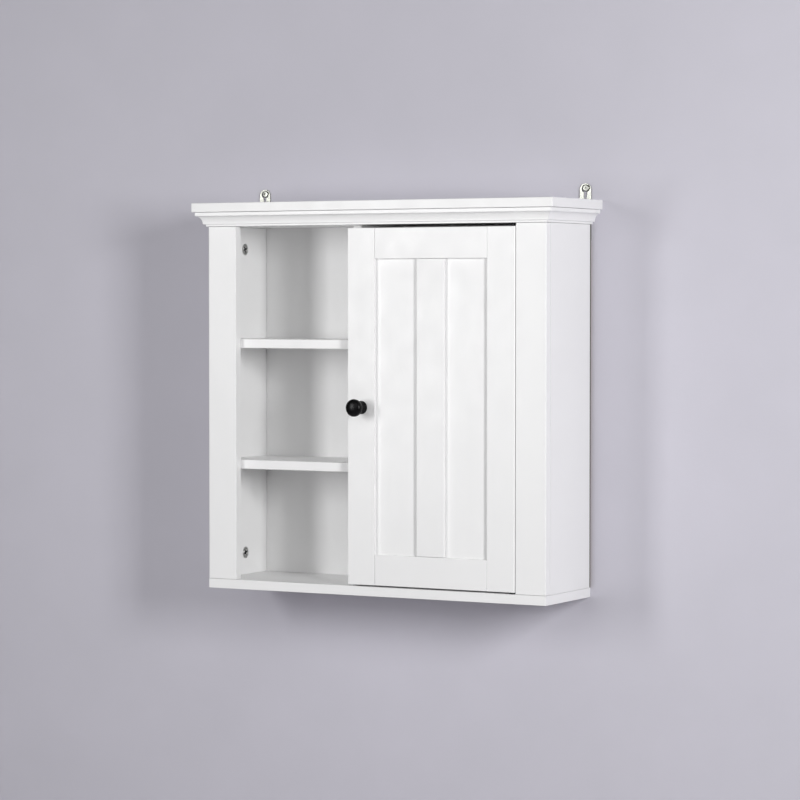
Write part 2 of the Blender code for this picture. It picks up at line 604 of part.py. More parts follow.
# Magnetic catch on the divider, its strike plate on the door, and two rubber rests
def build_catch(carcass, door):
    z = FLOOR + CATCH_ABOVE_FLOOR
    left = DIVIDER_RIGHT + GAP
    right = left + CATCH_WIDTH
    near = DOOR_REAR + CATCH_BEHIND_DOOR
    far = near + CATCH_LENGTH
    x = (left + right) / 2
    housing = board("catch_housing", (left, near, z - CATCH_HEIGHT / 2),
                    (right, far, z + CATCH_HEIGHT / 2), finish="white_plastic")
    magnet_low = Vector((x - MAGNET_WIDTH / 2, near, z - MAGNET_HEIGHT / 2))
    magnet_high = Vector((x + MAGNET_WIDTH / 2, near + MAGNET_LENGTH, z + MAGNET_HEIGHT / 2))
    board("catch_magnet", magnet_low, magnet_high, finish="magnet")
    pocket = bmesh.new()
    clearance = Vector((GAP, GAP, GAP))
    add_box(pocket, magnet_low - clearance - Vector((0, BELOW_FACE, 0)), magnet_high + clearance)
    subtract(housing, pocket, "magnet_pocket")
    y = (near + MAGNET_LENGTH + far) / 2
    for number, way in ((1, -1), (2, 1)):
        screw_z = z + way * CATCH_SCREW_SPACING / 2
        drill(housing, [((left - BELOW_FACE, y, screw_z), (right + BELOW_FACE, y, screw_z),
                         SCREW_HOLE_RADIUS)], "screw_hole_%d" % number)
        mesh_data = bmesh.new()
        add_rod(mesh_data, (DIVIDER_RIGHT - SCREW_LENGTH, y, screw_z),
                (right + GAP + SCREW_HEAD_HEIGHT / 2, y, screw_z), SCREW_RADIUS)
        screw = place("catch_screw_%d" % number, mesh_data, "zinc_fitting")
        add_head(screw, (right + GAP, y, screw_z), (1, 0, 0), SCREW_HEAD_RADIUS, SCREW_HEAD_HEIGHT)
        drill(carcass["divider_panel"], [((DIVIDER_RIGHT - SCREW_LENGTH - GAP, y, screw_z),
                                          (DIVIDER_RIGHT + BELOW_FACE, y, screw_z),
                                          SCREW_HOLE_RADIUS)], "catch_hole_%d" % number)

    strike_face = DOOR_REAR + GAP
    strike = board("strike_plate", (x - STRIKE_WIDTH / 2, strike_face, z - STRIKE_HEIGHT / 2),
                   (x + STRIKE_WIDTH / 2, strike_face + STRIKE_THICKNESS, z + STRIKE_HEIGHT / 2),
                   finish="bright_steel")
    drill(strike, [((x, strike_face - BELOW_FACE, z), (x, strike_face + STRIKE_THICKNESS + BELOW_FACE, z),
                    SCREW_HOLE_RADIUS)], "screw_hole")
    strike_screw = wood_screw("strike_screw", (x, strike_face + STRIKE_THICKNESS + GAP, z), (0, 1, 0))
    drill(door["door_stile_left"], [((x, DOOR_REAR - SCREW_LENGTH, z),
                                     (x, DOOR_REAR + BELOW_FACE, z), SCREW_HOLE_RADIUS)],
          "strike_hole")

    rest_x = (DIVIDER_LEFT + DIVIDER_RIGHT) / 2
    rest_y = DOOR_REAR + DOOR_REST_GAP - GAP
    for end, rest_z in (("top", CEILING - REST_FROM_END), ("bottom", FLOOR + REST_FROM_END)):
        pad = bmesh.new()
        add_rod(pad, (rest_x, rest_y, rest_z), (rest_x, DOOR_REAR + GAP, rest_z), REST_RADIUS)
        place("door_rest_" + end, pad, "clear_rubber")
    return strike, strike_screw


def hang_on_axis(pieces):
    """Parent the door's pieces to an empty that stands on the hinge axis."""
    axis = bpy.data.objects.new("door_axis", None)
    axis.location = HINGE
    parts.objects.link(axis)
    for piece in pieces:
        piece.parent = axis
        piece.matrix_parent_inverse = Matrix.Translation(-HINGE)


carcass_boards = build_carcass()
build_crown()
door_boards = build_door()
door_pieces = list(door_boards.values())
door_pieces += build_knob(door_boards)
door_pieces += build_hinge(carcass_boards, door_boards)
build_hangers(carcass_boards)
build_cams(carcass_boards)
build_shelf_pins(carcass_boards)
door_pieces += build_catch(carcass_boards, door_boards)
hang_on_axis(door_pieces)
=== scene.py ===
"""Looks of the hanging wall cabinet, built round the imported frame.

Metres, in the frame's own axes: +X to the right, the front faces -Y, the wall is the plane Y = 0, +Z up.
"""
import json
import math

import bmesh
import bpy
from mathutils import Matrix, Vector


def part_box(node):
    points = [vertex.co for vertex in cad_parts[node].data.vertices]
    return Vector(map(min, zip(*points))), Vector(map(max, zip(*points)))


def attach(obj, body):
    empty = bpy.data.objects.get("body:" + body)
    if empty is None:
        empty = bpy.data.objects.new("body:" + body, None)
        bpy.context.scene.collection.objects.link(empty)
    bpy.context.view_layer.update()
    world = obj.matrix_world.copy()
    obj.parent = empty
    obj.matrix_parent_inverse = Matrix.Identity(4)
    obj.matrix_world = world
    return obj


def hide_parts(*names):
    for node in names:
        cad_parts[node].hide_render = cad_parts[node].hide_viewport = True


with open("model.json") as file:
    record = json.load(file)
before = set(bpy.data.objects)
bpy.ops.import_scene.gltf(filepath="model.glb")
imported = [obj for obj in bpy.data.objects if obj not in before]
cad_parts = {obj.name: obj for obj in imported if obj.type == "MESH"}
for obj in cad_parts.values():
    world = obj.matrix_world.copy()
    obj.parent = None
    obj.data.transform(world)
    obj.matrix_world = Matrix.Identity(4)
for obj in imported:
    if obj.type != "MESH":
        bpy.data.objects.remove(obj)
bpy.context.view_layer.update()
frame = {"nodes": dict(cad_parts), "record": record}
nodes = frame["nodes"]
behaviour = frame["record"]["behaviour"]
body_of = {node: body for body, members in behaviour["bodies"].items() for node in members}
slot_of = {entry["node"]: entry["material_slot"] for entry in frame["record"]["subparts"]}

X, Y, Z = 0, 1, 2
TINY = 1e-6


# ---------------------------------------------------------------- materials
class Shader:
    """A Principled material with short calls for the procedural nodes that feed it."""

    def __init__(self, name, colour, roughness, metallic=0.0):
        self.material = bpy.data.materials.new(name)
        self.material.use_nodes = True
        self.nodes = self.material.node_tree.nodes
        self.links = self.material.node_tree.links
        self.shader = self.nodes["Principled BSDF"]
        self.set("Base Color", (*colour, 1.0))
        self.set("Roughness", roughness)
        self.set("Metallic", metallic)
        self.coordinates = self.nodes.new("ShaderNodeTexCoord")
        self.where = self.coordinates.outputs["Object"]

    def set(self, socket, value):
        self.shader.inputs[socket].default_value = value

    def link(self, output, socket):
        self.links.new(output, self.shader.inputs[socket])

    def stretched(self, scale):
        """Object coordinates scaled by a vector, so that a pattern can run along one axis."""
        mapping = self.nodes.new("ShaderNodeMapping")
        mapping.inputs["Scale"].default_value = scale
        self.links.new(self.where, mapping.inputs["Vector"])
        return mapping.outputs["Vector"]

    def noise(self, scale, detail=3.0, roughness=0.5, vector=None):
        noise = self.nodes.new("ShaderNodeTexNoise")
        noise.inputs["Scale"].default_value = scale
        noise.inputs["Detail"].default_value = detail
        noise.inputs["Roughness"].default_value = roughness
        self.links.new(self.where if vector is None else vector, noise.inputs["Vector"])
        return noise.outputs["Fac"]

    def cells(self, scale, feature="F1", vector=None):
        """Distance field of a scattered cell pattern."""
        voronoi = self.nodes.new("ShaderNodeTexVoronoi")
        voronoi.feature = feature
        voronoi.inputs["Scale"].default_value = scale
        self.links.new(self.where if vector is None else vector, voronoi.inputs["Vector"])
        return voronoi.outputs["Distance"]

    def spread(self, value, low, high, from_low=0.3, from_high=0.7):
        """Map a pattern to the range low..high."""
        ranged = self.nodes.new("ShaderNodeMapRange")
        ranged.inputs["From Min"].default_value = from_low
        ranged.inputs["From Max"].default_value = from_high
        ranged.inputs["To Min"].default_value = low
        ranged.inputs["To Max"].default_value = high
        self.links.new(value, ranged.inputs["Value"])
        return ranged.outputs["Result"]

    def facing(self, axis, low, high):
        """0 to 1 as the object's own surface direction along an axis goes from low to high."""
        split = self.nodes.new("ShaderNodeSeparateXYZ")
        self.links.new(self.coordinates.outputs["Normal"], split.inputs["Vector"])
        return self.spread(split.outputs[axis], 0.0, 1.0, low, high)

    def mix(self, factor, first, second):
        """Mix two colours, each a tuple or an output, by a factor output."""
        mix = self.nodes.new("ShaderNodeMix")
        mix.data_type = "RGBA"
        self.links.new(factor, mix.inputs["Factor"])
        for socket, value in ((mix.inputs[6], first), (mix.inputs[7], second)):
            if isinstance(value, tuple):
                socket.default_value = (*value, 1.0)
            else:
                self.links.new(value, socket)
        return mix.outputs[2]

    def bump(self, height, depth, under=None):
        """Raise the surface by a pattern, depth metres from its 0 to its 1."""
        bump = self.nodes.new("ShaderNodeBump")
        bump.inputs["Strength"].default_value = 1.0
        bump.inputs["Distance"].default_value = depth
        self.links.new(height, bump.inputs["Height"])
        if under is not None:
            self.links.new(under, bump.inputs["Normal"])
        self.links.new(bump.outputs["Normal"], self.shader.inputs["Normal"])
        return bump.outputs["Normal"]


LACQUER_LIGHT = (0.900, 0.899, 0.899)
LACQUER_DARK = (0.876, 0.875, 0.876)


def lacquer_tone(paint):
    """Very slow change of tone, as a sprayed coat has where it is a little thicker or thinner."""
    return paint.mix(paint.spread(paint.noise(6.0, 4.0), 0.0, 1.0), LACQUER_DARK, LACQUER_LIGHT)


def lacquer_surface(paint):
    """Orange peel of a sprayed coat over the slow unevenness of sanded board."""
    slow = paint.bump(paint.noise(24.0, 2.0), 0.00016)
    fine = paint.bump(paint.noise(330.0, 2.0, 0.4), 0.000022, under=slow)
    paint.bump(paint.noise(1100.0, 2.0), 0.000006, under=fine)


def white_lacquer():
    paint = Shader("white_lacquer", LACQUER_LIGHT, 0.36)
    paint.link(lacquer_tone(paint), "Base Color")
    paint.link(paint.spread(paint.noise(40.0, 4.0), 0.32, 0.42), "Roughness")
    lacquer_surface(paint)
    return paint.material


def back_board():
    """Thin fibreboard: painted white in front, raw edges painted dark grey as shade, bare brown matted
    fibres behind.
    """
    board = Shader("back_board", LACQUER_LIGHT, 0.5)
    fibres = board.noise(420.0, 6.0, 0.7, board.stretched((1.0, 1.0, 2.2)))
    flecks = board.spread(board.cells(260.0), 0.0, 1.0, 0.05, 0.45)
    brown = board.mix(board.spread(fibres, 0.0, 1.0), (0.150, 0.082, 0.040), (0.300, 0.180, 0.098))
    brown = board.mix(flecks, (0.105, 0.060, 0.032), brown)
    # the raw edges are far darker than bare board: painted shade of the dark joint beside the side
    # panels
    edge = board.mix(board.spread(board.noise(900.0, 4.0), 0.0, 1.0),
                     (0.062, 0.055, 0.048), (0.110, 0.098, 0.086))
    behind = board.facing("Y", 0.35, 0.75)
    front = board.facing("Y", -0.35, -0.75)
    raw = board.mix(behind, edge, brown)
    board.link(board.mix(front, raw, lacquer_tone(board)), "Base Color")
    board.link(board.spread(front, 0.78, 0.40, 0.0, 1.0), "Roughness")
    board.bump(fibres, 0.00003)
    return board.material


def satin_black():
    """Powder coat of the knob: near black, fine grain, a soft sheen with a hint of wear in it."""
    coat = Shader("satin_black", (0.004, 0.004, 0.0045), 0.30)
    coat.set("Specular IOR Level", 0.13)
    coat.link(coat.mix(coat.spread(coat.noise(260.0, 4.0), 0.0, 1.0),
                       (0.0030, 0.0030, 0.0034), (0.0056, 0.0055, 0.0060)), "Base Color")
    coat.link(coat.spread(coat.noise(120.0, 5.0), 0.25, 0.34), "Roughness")
    slow = coat.bump(coat.noise(700.0, 2.0), 0.000012)
    coat.bump(coat.noise(2400.0, 2.0), 0.000005, under=slow)
    return coat.material


def metal(name, light, dark, rough_low, rough_high, drawn=(1.0, 1.0, 1.0), sheared_and_shaded=None):
    """Plated or bare metal: cloudy plating, fine lines along the drawing direction, small pits.

    A sheet's cut edges, which face away from its own Y, can be given a dark colour: duller cut metal,
    and painted shade in the keyhole slot.
    """
    plate = Shader(name, light, rough_low, 1.0)
    cloud = plate.spread(plate.noise(190.0, 5.0, 0.6), 0.0, 1.0)
    colour = plate.mix(cloud, dark, light)
    # edges facing away from Y take the dark colour: partly duller cut metal, partly painted shade of the
    # slot walls
    if sheared_and_shaded:
        split = plate.nodes.new("ShaderNodeSeparateXYZ")
        plate.links.new(plate.coordinates.outputs["Normal"], split.inputs["Vector"])
        flat = plate.nodes.new("ShaderNodeMath")
        flat.operation = "ABSOLUTE"
        plate.links.new(split.outputs["Y"], flat.inputs[0])
        colour = plate.mix(plate.spread(flat.outputs[0], 0.0, 1.0, 0.55, 0.9), sheared_and_shaded, colour)
    plate.link(colour, "Base Color")
    lines = plate.noise(1500.0, 3.0, 0.6, plate.stretched(drawn))
    plate.link(plate.spread(lines, rough_low, rough_high), "Roughness")
    grain = plate.bump(lines, 0.000004)
    plate.bump(plate.spread(plate.cells(700.0), 0.0, 1.0, 0.0, 0.12), 0.000006, under=grain)
    return plate.material


def nylon():
    """Moulded off-white nylon with a matt spark-eroded skin."""
    body = Shader("nylon", (0.80, 0.79, 0.76), 0.48)
    body.link(body.mix(body.spread(body.noise(90.0, 3.0), 0.0, 1.0),
                       (0.770, 0.760, 0.725), (0.830, 0.822, 0.800)), "Base Color")
    body.link(body.spread(body.noise(300.0, 3.0), 0.42, 0.56), "Roughness")
    body.set("Subsurface Weight", 0.08)
    body.set("Subsurface Radius", (0.0012, 0.0010, 0.0008))
    body.bump(body.noise(1800.0, 2.0), 0.000012)
    return body.material


def black_nylon():
    """Moulded black nylon of the washer under the door."""
    body = Shader("black_nylon", (0.020, 0.020, 0.021), 0.5)
    body.link(body.mix(body.spread(body.noise(90.0, 3.0), 0.0, 1.0),
                       (0.014, 0.014, 0.015), (0.027, 0.027, 0.028)), "Base Color")
    body.link(body.spread(body.noise(300.0, 3.0), 0.44, 0.58), "Roughness")
    body.bump(body.noise(1800.0, 2.0), 0.000012)
    return body.material


def rubber():
    """Frosted, slightly milky rubber of the door rests."""
    pad = Shader("frosted_rubber", (0.62, 0.62, 0.60), 0.6)
    pad.link(pad.mix(pad.spread(pad.noise(400.0, 3.0), 0.0, 1.0),
                     (0.560, 0.560, 0.535), (0.680, 0.680, 0.655)), "Base Color")
    pad.link(pad.spread(pad.noise(700.0, 3.0), 0.52, 0.68), "Roughness")
    pad.set("Subsurface Weight", 0.2)
    pad.set("Subsurface Radius", (0.0015, 0.0015, 0.0014))
    pad.bump(pad.noise(2200.0, 2.0), 0.00001)
    return pad.material


def ferrite():
    """Sintered ferrite: dark and grainy, some grains lighter, partly their own tone and partly a painted
    glint.
    """
    magnet = Shader("ferrite", (0.05, 0.05, 0.055), 0.5)
    grains = magnet.cells(1600.0)
    # lighter grains: their own tone and a painted glint in the base colour
    magnet.link(magnet.mix(magnet.spread(grains, 0.0, 1.0, 0.0, 0.8),
                           (0.032, 0.032, 0.036), (0.085, 0.085, 0.092)), "Base Color")
    magnet.link(magnet.spread(magnet.noise(500.0, 4.0), 0.38, 0.62), "Roughness")
    magnet.bump(grains, 0.00001)
    return magnet.material


MATERIALS = {
    "white_paint": white_lacquer(),
    "hardboard": back_board(),
    "black_metal": satin_black(),
    # the last colour is the plates' dark edges, partly cut metal and partly painted shade in the keyhole
    # slot
    "bright_steel": metal("bright_plate", (0.640, 0.650, 0.585), (0.530, 0.540, 0.495), 0.34, 0.48,
                          (1.0, 1.0, 0.08), (0.150, 0.152, 0.130)),
    "zinc_fitting": metal("dull_zinc", (0.640, 0.640, 0.632), (0.490, 0.490, 0.492), 0.26, 0.44),
    "white_plastic": nylon(),
    "black_plastic": black_nylon(),
    "clear_rubber": rubber(),
    "magnet": ferrite(),
}
CAST_ZINC = metal("cast_zinc", (0.860, 0.860, 0.850), (0.700, 0.700, 0.695), 0.30, 0.46)
# blackened steel of the hinge pins, also used as painted shade deep in the cam slots
BLACKENED_STEEL_AND_SHADE = metal("blackened_steel_and_painted_shade", (0.030, 0.030, 0.032), (0.016, 0.016, 0.018), 0.42, 0.58,
                  (1.0, 1.0, 0.06))


# ---------------------------------------------------------------- mesh tools
def link_object(name, mesh_data):
    mesh = bpy.data.meshes.new(name)
    mesh_data.to_mesh(mesh)
    mesh_data.free()
    made = bpy.data.objects.new(name, mesh)
    bpy.context.scene.collection.objects.link(made)
    return made


def finished(name, mesh_data, sharp_angle=38.0):
    """Shade a bmesh smooth except over its sharp edges, and turn it into an object."""
    bmesh.ops.remove_doubles(mesh_data, verts=mesh_data.verts, dist=TINY)
    bmesh.ops.recalc_face_normals(mesh_data, faces=mesh_data.faces)
    for face in mesh_data.faces:
        face.smooth = True
    for edge in mesh_data.edges:
        edge.smooth = edge.calc_face_angle(math.pi) < math.radians(sharp_angle)
    return link_object(name, mesh_data)


def piece(name, mesh_data, slot, body, replaced=(), material=None, sharp_angle=38.0):
    """A finished piece with its material, riding on a body and standing for CAD nodes."""
    made = finished(name, mesh_data, sharp_angle)
    made.data.materials.append(material or MATERIALS[slot])
    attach(made, body)
    if replaced:
        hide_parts(*replaced)
    return made


def stand_in(name, mesh_data, node, material=None, sharp_angle=38.0):
    """A piece that takes its body and slot from the one CAD node it stands for."""
    return piece(name, mesh_data, slot_of[node], body_of[node], (node,), material, sharp_angle)


def carve(mesh_data, *cutters):
    """Cut each of the other bmeshes out of the first one and return the result."""
    base = link_object("carve_base", mesh_data)
    tools = [link_object("carve_tool", cutter) for cutter in cutters]
    for tool in tools:
        cut = base.modifiers.new("cut", "BOOLEAN")
        cut.operation = "DIFFERENCE"
        cut.solver = "EXACT"
        cut.object = tool
    result = bmesh.new()
    result.from_object(base, bpy.context.evaluated_depsgraph_get())
    for used in (base, *tools):
        mesh = used.data
        bpy.data.objects.remove(used, do_unlink=True)
        bpy.data.meshes.remove(mesh)
    return result


def turned(outline, steps=64, closed=False):
    """Revolve (radius, height) points about +Z into a closed skin.

    A radius may also be a function of the angle. A closed outline goes round a bore.
    """
    mesh_data = bmesh.new()
    rings = []
    for radius, height in outline:
        if not callable(radius) and radius < TINY:
            rings.append([mesh_data.verts.new((0.0, 0.0, height))])
            continue
        ring = []
        for step in range(steps):
            angle = math.tau * step / steps
            reach = radius(angle) if callable(radius) else radius
            ring.append(mesh_data.verts.new((reach * math.cos(angle), reach * math.sin(angle), height)))
        rings.append(ring)
    pairs = list(zip(rings, rings[1:]))
    if closed:
        pairs.append((rings[-1], rings[0]))
    for near, far in pairs:
        for step in range(steps):
            after = (step + 1) % steps
            corners = [near[step % len(near)], near[after % len(near)],
                       far[after % len(far)], far[step % len(far)]]
            mesh_data.faces.new(list(dict.fromkeys(corners)))
    return mesh_data


def eased(points, amount, steps=4, closed=False):
    """Round the corners of an outline, each over at most the given length of its two sides."""
    count = len(points)
    soft = []
    for index, point in enumerate(points):
        if not closed and index in (0, count - 1):
            soft.append(point)
            continue
        here = Vector(point)
        before = Vector(points[index - 1]) - here
        after = Vector(points[(index + 1) % count]) - here
        start = here + before.normalized() * min(amount, before.length * 0.45)
        end = here + after.normalized() * min(amount, after.length * 0.45)
        for step in range(steps + 1):
            part = step / steps
            spot = start * (1 - part) ** 2 + here * (2 * part * (1 - part)) + end * part ** 2
            soft.append(tuple(spot))
    return soft


def moved(mesh_data, at, outward):
    """Put a bmesh made along +Z at a point, facing outward."""
    turn = Vector(outward).to_track_quat("Z", "Y").to_matrix().to_4x4()
    bmesh.ops.transform(mesh_data, matrix=Matrix.Translation(Vector(at)) @ turn, verts=mesh_data.verts)
    return mesh_data


def prism(outline, low, high, plane="XZ"):
    """Closed prism over an outline in the XZ plane, from low to high along Y."""
    mesh_data = bmesh.new()
    loops = [[mesh_data.verts.new((a, depth, b)) for a, b in outline] for depth in (low, high)]
    mesh_data.faces.new(loops[0])
    mesh_data.faces.new(loops[1][::-1])
    for step in range(len(outline)):
        after = (step + 1) % len(outline)
        mesh_data.faces.new((loops[0][step], loops[0][after], loops[1][after], loops[1][step]))
    return mesh_data


def arc(middle, radius, start, end, steps):
    """Points of an arc in a plane, both ends included, angles in degrees."""
    points = []
    for step in range(steps + 1):
        angle = math.radians(start + (end - start) * step / steps)
        points.append((middle[0] + radius * math.cos(angle), middle[1] + radius * math.sin(angle)))
    return points


def soften_edges(made, width, segments=3, angle=35.0):
    """Ease the edges of an object that has flat faces."""
    ease = made.modifiers.new("eased_edges", "BEVEL")
    ease.width = width
    ease.segments = segments
    ease.limit_method = "ANGLE"
    ease.angle_limit = math.radians(angle)
    ease.harden_normals = True


def middle_of(node):
    low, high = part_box(node)
    return [(a + b) / 2 for a, b in zip(low, high)]


# ---------------------------------------------------------------- CAD nodes that stay
EDGE_EASE = {"door": 0.0005, "front_post": 0.0006}
BOARD_EASE = 0.0008
SMALL_EASE = {"catch_housing": 0.0012, "catch_magnet": 0.0002, "strike_plate": 0.0004}


def ease_node(node, amount):
    """Join the facets of each flat face, then round the edges between them."""
    weld = node.modifiers.new("weld", "WELD")
    weld.merge_threshold = 0.00001
    flat = node.modifiers.new("flat_faces", "DECIMATE")
    flat.decimate_type = "DISSOLVE"
    flat.angle_limit = math.radians(1.0)
    soften_edges(node, amount)


def finish_nodes():
    """Material and eased edges for the CAD boards and the plain fittings that stay."""
    for name, node in nodes.items():
        node.data.materials.clear()
        node.data.materials.append(MATERIALS[slot_of[name]])
        if slot_of[name] in ("white_paint", "hardboard"):
            kind = next((key for key in EDGE_EASE if name.startswith(key)), None)
            ease_node(node, EDGE_EASE.get(kind, BOARD_EASE))
        elif name in SMALL_EASE:
            ease_node(node, SMALL_EASE[name])


# ---------------------------------------------------------------- crown moulding
CROWN_FILLET = 0.0131
CROWN_COVE_TOP = 0.0127
CROWN_COVE_FOOT = 0.0056
CROWN_BAND = 0.0025
CROWN_BAND_HEIGHT = 0.0029
CROWN_COVE_HEIGHT = 0.0106
CROWN_COVE_STEPS = 24
CROWN_BACK = 0.0003
CROWN_ARRIS = 0.0004
MITRE_GAP = 0.00006


def crown_outline(full_height):
    """Overhang and height of the moulding, from its lower back edge round to its upper one."""
    foot = CROWN_BAND_HEIGHT
    top = foot + CROWN_COVE_HEIGHT
    corners = [(CROWN_BACK, 0.0), (CROWN_BAND, 0.0), (CROWN_BAND, foot), (CROWN_COVE_FOOT, foot)]
    spread = CROWN_COVE_TOP - CROWN_COVE_FOOT
    for step in range(1, CROWN_COVE_STEPS + 1):
        angle = math.pi / 2 * step / CROWN_COVE_STEPS
        corners.append((CROWN_COVE_TOP - spread * math.cos(angle),
                        foot + CROWN_COVE_HEIGHT * math.sin(angle)))
    corners += [(CROWN_FILLET, top), (CROWN_FILLET, full_height), (CROWN_BACK, full_height)]
    return corners


def crown_length(name, start, end, outward, mitre_start, mitre_end, full_height):
    """One length of moulding, mitred where it meets the next."""
    start = Vector(start)
    end = Vector(end)
    outward = Vector(outward)
    along = (end - start).normalized()
    mesh_data = bmesh.new()
    loops = []
    for origin, way, mitre in ((start, -1.0, mitre_start), (end, 1.0, mitre_end)):
        loop = []
        for overhang, height in crown_outline(full_height):
            reach = way * (overhang - MITRE_GAP) * mitre
            spot = origin + outward * overhang + along * reach + Vector((0.0, 0.0, height))
            loop.append(mesh_data.verts.new(spot))
        loops.append(loop)
    mesh_data.faces.new(loops[0])
    mesh_data.faces.new(loops[1][::-1])
    for step in range(len(loops[0])):
        after = (step + 1) % len(loops[0])
        mesh_data.faces.new((loops[0][step], loops[0][after], loops[1][after], loops[1][step]))
    made = stand_in(name + "_moulding", mesh_data, name)
    soften_edges(made, CROWN_ARRIS, 3, 40.0)


def build_crown():
    low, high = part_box("carcass_top")
    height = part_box("crown_front")[1][Z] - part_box("crown_front")[0][Z]
    left, front, lower = low
    right, rear = high[X], high[Y]
    crown_length("crown_front", (left, front, lower), (right, front, lower), (0, -1, 0), 1, 1, height)
    crown_length("crown_left", (left, front, lower), (left, rear, lower), (-1, 0, 0), 1, 0, height)
    crown_length("crown_right", (right, front, lower), (right, rear, lower), (1, 0, 0), 1, 0, height)


# ---------------------------------------------------------------- knob
KNOB_LENGTH = 0.0256
KNOB_CAP_RADIUS = 0.0113
KNOB_CAP_MIDDLE = 0.0192
KNOB_NECK_RADIUS = 0.0060
KNOB_NECK_MIDDLE = 0.0094
KNOB_FOOT_RADIUS = 0.0086
KNOB_FOOT_HEIGHT = 0.0011
KNOB_BORE_RADIUS = 0.0023
KNOB_BORE_DEPTH = 0.013
KNOB_CAP_FLATNESS = 2.35


def knob_outline():
    """From the crown of the cap over its rim, down the neck to the foot, and up the bore."""
    points = []
    dome = KNOB_LENGTH - KNOB_CAP_MIDDLE
    power = 2.0 / KNOB_CAP_FLATNESS
    for step in range(25):
        angle = math.pi / 2 * (1 - step / 24)
        points.append((KNOB_CAP_RADIUS * max(math.cos(angle), 0.0) ** power,
                       KNOB_CAP_MIDDLE + dome * math.sin(angle) ** power))
    points[0] = (0.0, KNOB_LENGTH)
    fall = KNOB_CAP_MIDDLE - KNOB_NECK_MIDDLE
    for step in range(1, 25):
        swing = step / 24
        ease = 0.5 + 0.5 * math.cos(math.pi * swing)
        points.append((KNOB_NECK_RADIUS + (KNOB_CAP_RADIUS - KNOB_NECK_RADIUS) * ease,
                       KNOB_CAP_MIDDLE - fall * swing ** 0.8))
    drop = KNOB_NECK_MIDDLE - KNOB_FOOT_HEIGHT
    for step in range(1, 13):
        swing = step / 12
        points.append((KNOB_NECK_RADIUS + (KNOB_FOOT_RADIUS - KNOB_NECK_RADIUS) * swing ** 2,
                       KNOB_NECK_MIDDLE - drop * swing))
    foot = [(KNOB_FOOT_RADIUS, KNOB_FOOT_HEIGHT), (KNOB_FOOT_RADIUS, 0.0), (KNOB_BORE_RADIUS, 0.0),
            (KNOB_BORE_RADIUS, KNOB_BORE_DEPTH), (0.0, KNOB_BORE_DEPTH)]
    return points + eased(foot, 0.0003, 3)[1:]


def build_knob():
    x, _, z = middle_of("knob")
    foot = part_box("knob")[1][Y]
    mesh_data = moved(turned(knob_outline(), 128), (x, foot, z), (0, -1, 0))
    stand_in("knob_turned", mesh_data, "knob", sharp_angle=50.0)


# ---------------------------------------------------------------- screws and pins
THREAD_ROWS = 10
RECESS_WIDTH = 0.28
RECESS_LENGTH = 1.05


def thread_rows(radius, pitch, low, high, tip, steps_up=THREAD_ROWS):
    """Rows of a threaded shank: a helical ridge on a core, ending in a point of length tip."""
    core = radius * 0.72
    count = max(2, round((high - low) / pitch * steps_up))
    rows = [(0.0, low)]
    for step in range(1, count + 1):
        height = low + (high - low) * step / count
        point = min(1.0, (height - low) / tip) if tip else 1.0
        run_out = min(1.0, (high - height) / pitch)

        def reach(angle, height=height, point=point, run_out=run_out):
            phase = (height / pitch - angle / math.tau) % 1.0
            ridge = max(0.0, 1.0 - abs(phase - 0.5) / 0.3)
            return point * (core + (radius - core) * ridge * run_out)

        rows.append((reach, height))
    return rows


def cross_cutters(radius, depth, face):
    """Two tapered blades that leave a cross recess in a screw's head."""
    cutters = []
    for quarter in (0, 1):
        blade = bmesh.new()
        size = (radius * RECESS_LENGTH, radius * RECESS_WIDTH, depth + 0.001)
        at = Matrix.Translation((0, 0, face - depth + size[2] / 2))
        turn = Matrix.Rotation(math.pi / 2 * quarter + 0.35, 4, "Z")
        bmesh.ops.create_cube(blade, size=1.0, matrix=turn @ at @ Matrix.Diagonal((*size, 1.0)))
        for vertex in blade.verts:
            if vertex.co.z < face:
                vertex.co.x *= 0.55
                vertex.co.y *= 0.55
        cutters.append(blade)
    return cutters


def screw(node, axis, head, shank_radius, pitch, head_height, flat_tip=False):
    """A screw where a CAD node is: its face is at the node's high end along the axis."""
    low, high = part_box(node)
    across = [side for side in (X, Y, Z) if side != axis]
    radius = (high[across[0]] - low[across[0]]) / 2
    length = high[axis] - low[axis]
    tip = 0.0 if flat_tip else shank_radius * 2.2
    under = length - head_height
    rows = thread_rows(shank_radius, pitch, 0.0, under, tip)
    if head == "countersunk":
        outline = [(shank_radius, under), (radius, length - 0.00018), (radius, length), (0.0, length)]
    else:
        dome = radius * 0.86
        outline = [(shank_radius * 0.9, under), (radius, under), (radius, under + head_height * 0.35),
                   (dome, length - head_height * 0.12), (0.0, length)]
    rows += eased(outline, head_height * 0.25, 3)[1:]
    body = carve(turned(rows, 40), *cross_cutters(radius, head_height * 0.8, length))
    at = middle_of(node)
    at[axis] = low[axis]
    outward = [0, 0, 0]
    outward[axis] = 1
    stand_in(node + "_threaded", moved(body, at, outward), node, sharp_angle=42.0)


def rod_outline(radius, length, chamfer):
    return [(0.0, 0.0), (radius - chamfer, 0.0), (radius, chamfer), (radius, length - chamfer),
            (radius - chamfer, length), (0.0, length)]


def build_screws():
    for side in ("left", "right"):
        for number in ("1", "2"):
            screw("hanger_screw_%s_%s" % (side, number), Y, "countersunk", 0.0015, 0.0012, 0.0013)
    screw("catch_screw_1", X, "pan", 0.0015, 0.0012, 0.0012)
    screw("catch_screw_2", X, "pan", 0.0015, 0.0012, 0.0012)
    screw("strike_screw", Y, "pan", 0.0015, 0.0012, 0.0012)
    screw("knob_screw", Y, "pan", 0.0020, 0.0007, 0.0022, flat_tip=True)


PIN_CHAMFER = 0.0005
BUSH_BORE_RADIUS = 0.0021
BUSH_EASE = 0.0003


